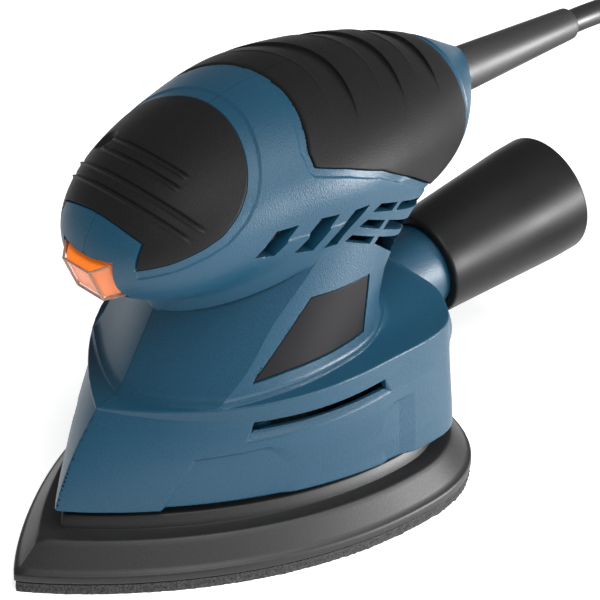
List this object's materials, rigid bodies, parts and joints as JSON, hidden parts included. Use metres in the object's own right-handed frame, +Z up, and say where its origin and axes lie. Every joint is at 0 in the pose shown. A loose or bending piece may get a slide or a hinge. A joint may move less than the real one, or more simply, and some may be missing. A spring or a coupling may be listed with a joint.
{
  "type": "corded delta palm sander",
  "caption": "Corded palm sander: egg-shaped grip, booted rocker switch, iron-shaped hook pad that orbits on an eccentric, and a pull-off dust adapter.",
  "frame": {"origin": "on the floor, below the middle of the tool's length and width, measured without the free cord, its coil and its plug", "axes": "+Y from the pad's tip towards the cord guard, +Z up from the pad's underside, +X to the tool's own left"},
  "size_m": [0.1353, 0.3555, 0.1228],
  "materials": {
    "body_blue": "fine textured petrol blue glass-filled plastic",
    "grip_black": "soft grained black grip moulding",
    "gloss_black": "semi-gloss black plastic",
    "label_grey": "plain charcoal label, no text",
    "switch_orange": "bright orange plastic",
    "boot_clear": "clear soft boot over orange",
    "cord_black": "black cord sheath",
    "rubber_black": "black rubber",
    "hook_black": "black hook-and-loop layer on foam",
    "shroud_grey": "light grey moulded plastic",
    "steel": "plain bright steel",
    "lamination": "stacked electrical steel",
    "copper": null,
    "brass": "plain brass",
    "carbon": null,
    "lead_brown": "brown wire insulation",
    "lead_blue": "blue wire insulation",
    "capacitor_yellow": "yellow capacitor case"
  },
  "bodies": {
    "housing": {"housing_left": "body_blue", "housing_right": "body_blue", "front_grip_left": "grip_black", "front_grip_right": "grip_black", "rear_grip_left": "grip_black", "rear_grip_right": "grip_black", "label_left": "label_grey", "label_right": "label_grey", "housing_screw_1": "steel", "housing_screw_2": "steel", "housing_screw_3": "steel", "housing_screw_4": "steel", "clamp_screw_left": "steel", "clamp_screw_right": "steel", "lower_bearing": "steel", "upper_bearing": "steel", "switch_body": "gloss_black", "cord_clamp": "gloss_black", "plug_body": "gloss_black", "rubber_post_front_left": "rubber_black", "rubber_post_front_right": "rubber_black", "rubber_post_rear_left": "rubber_black", "rubber_post_rear_right": "rubber_black", "cord_guard": "rubber_black", "field_core": "lamination", "field_coil_left": "copper", "field_coil_right": "copper", "bearing_plate": "shroud_grey", "fan_shroud": "shroud_grey", "brush_holder_front": "brass", "brush_holder_rear": "brass", "plug_pin_left": "brass", "plug_pin_right": "brass", "carbon_brush_front": "carbon", "carbon_brush_rear": "carbon", "cord": "cord_black", "cord_coil": "cord_black", "lead_live": "lead_brown", "lead_neutral": "lead_blue", "capacitor": "capacitor_yellow"},
    "rotor": {"motor_shaft": "steel", "armature_core": "lamination", "armature_winding_lower": "copper", "armature_winding_upper": "copper", "commutator": "copper", "fan": "shroud_grey", "eccentric_weight": "steel"},
    "pad": {"pad_plate": "gloss_black", "hook_layer": "hook_black", "pad_bearing": "steel"},
    "switch": {"switch_rocker": "switch_orange", "switch_boot": "boot_clear"},
    "adapter": {"dust_adapter": "gloss_black"}
  },
  "joints": [
    {"name": "rotor_spin", "type": "hinge", "parent": "housing", "child": "rotor", "pos_m": [0, -0.0215, 0], "axis": [0, 0, 1], "continuous": true},
    {"name": "pad_orbit", "type": "hinge", "parent": "rotor", "child": "pad", "pos_m": [0, -0.0207, 0], "axis": [0, 0, 1], "continuous": true},
    {"name": "switch_rock", "type": "hinge", "parent": "housing", "child": "switch", "pos_m": [0, -0.06969, 0.08661], "axis": [1, 0, 0], "range_deg": [0, 8]},
    {"name": "adapter_pull", "type": "slide", "parent": "housing", "child": "adapter", "axis": [0, 0.996, 0.0889], "range_m": [0, 0.02]}
  ],
  "couplings": [
    {"joint": "pad_orbit", "follows": "rotor_spin", "ratio": -1}
  ]
}
